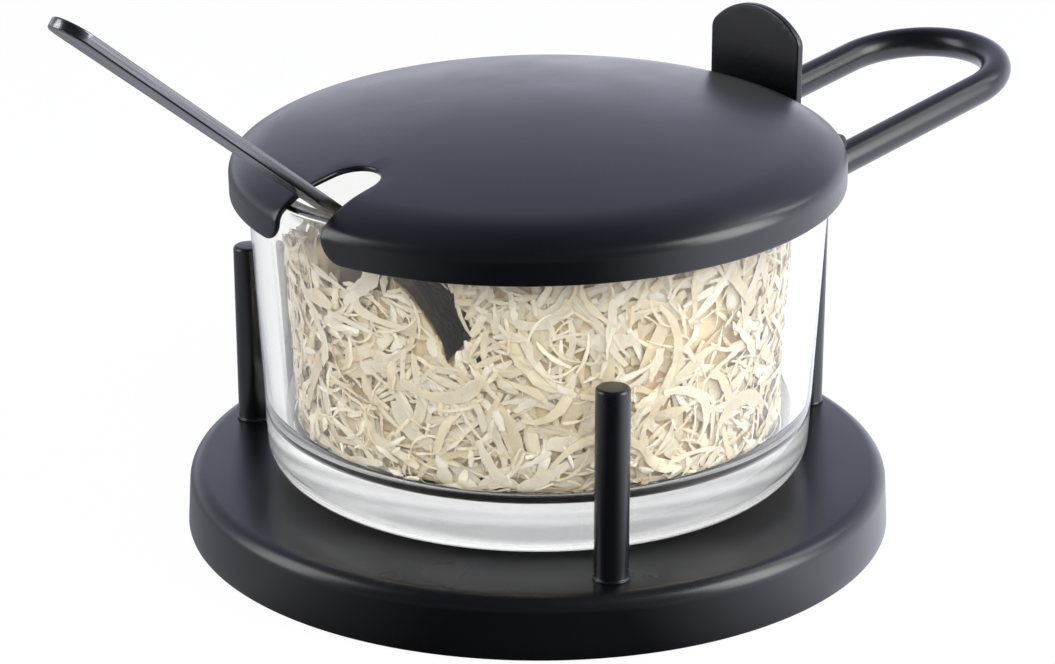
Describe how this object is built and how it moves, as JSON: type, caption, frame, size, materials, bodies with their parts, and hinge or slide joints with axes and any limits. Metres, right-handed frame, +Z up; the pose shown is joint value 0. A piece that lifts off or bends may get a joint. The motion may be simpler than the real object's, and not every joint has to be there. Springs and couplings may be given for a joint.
{
  "type": "parmesan pot",
  "caption": "Glass serving bowl for grated cheese in a round black stand with a wire handle, a hinged lid opened by a thumb lever and a spoon resting in the lid's slot.",
  "frame": {"origin": "middle of the underside, on the axis of the round stand", "axes": "+X towards the handle, +Z up, +Y to the left when looking from the spoon to the handle"},
  "size_m": [0.2239, 0.13, 0.1127],
  "materials": {
    "black_coat": "satin black powder coat",
    "clear_glass": "clear pressed glass",
    "dark_steel": "dark brushed steel",
    "zinc_steel": "zinc plated",
    "black_plastic": "matte",
    "pad_rubber": "matte"
  },
  "bodies": {
    "stand": {"base_shell": "black_coat", "bottom_cover": "black_plastic", "anti_slip_pad": "pad_rubber", "post_left": "black_coat", "post_right": "black_coat", "post_washer_left": "zinc_steel", "post_washer_right": "zinc_steel", "post_screw_left": "zinc_steel", "post_screw_right": "zinc_steel", "leg_washer_left": "zinc_steel", "leg_washer_right": "zinc_steel", "leg_screw_left": "zinc_steel", "leg_screw_right": "zinc_steel", "handle_frame": "black_coat", "hinge_pin": "black_coat", "glass_bowl": "clear_glass"},
    "lid": {"lid_shell": "black_coat", "thumb_lever": "black_coat"},
    "spoon": {"spoon": "dark_steel"}
  },
  "joints": [
    {"name": "lid_hinge", "type": "hinge", "parent": "stand", "child": "lid", "pos_m": [0.05942, 0, 0.06309], "axis": [0, 1, 0], "range_deg": [0, 128]},
    {"name": "spoon_lift", "type": "slide", "parent": "stand", "child": "spoon", "axis": [-0.7848, 0, 0.6198], "range_m": [0, 0.024]}
  ]
}
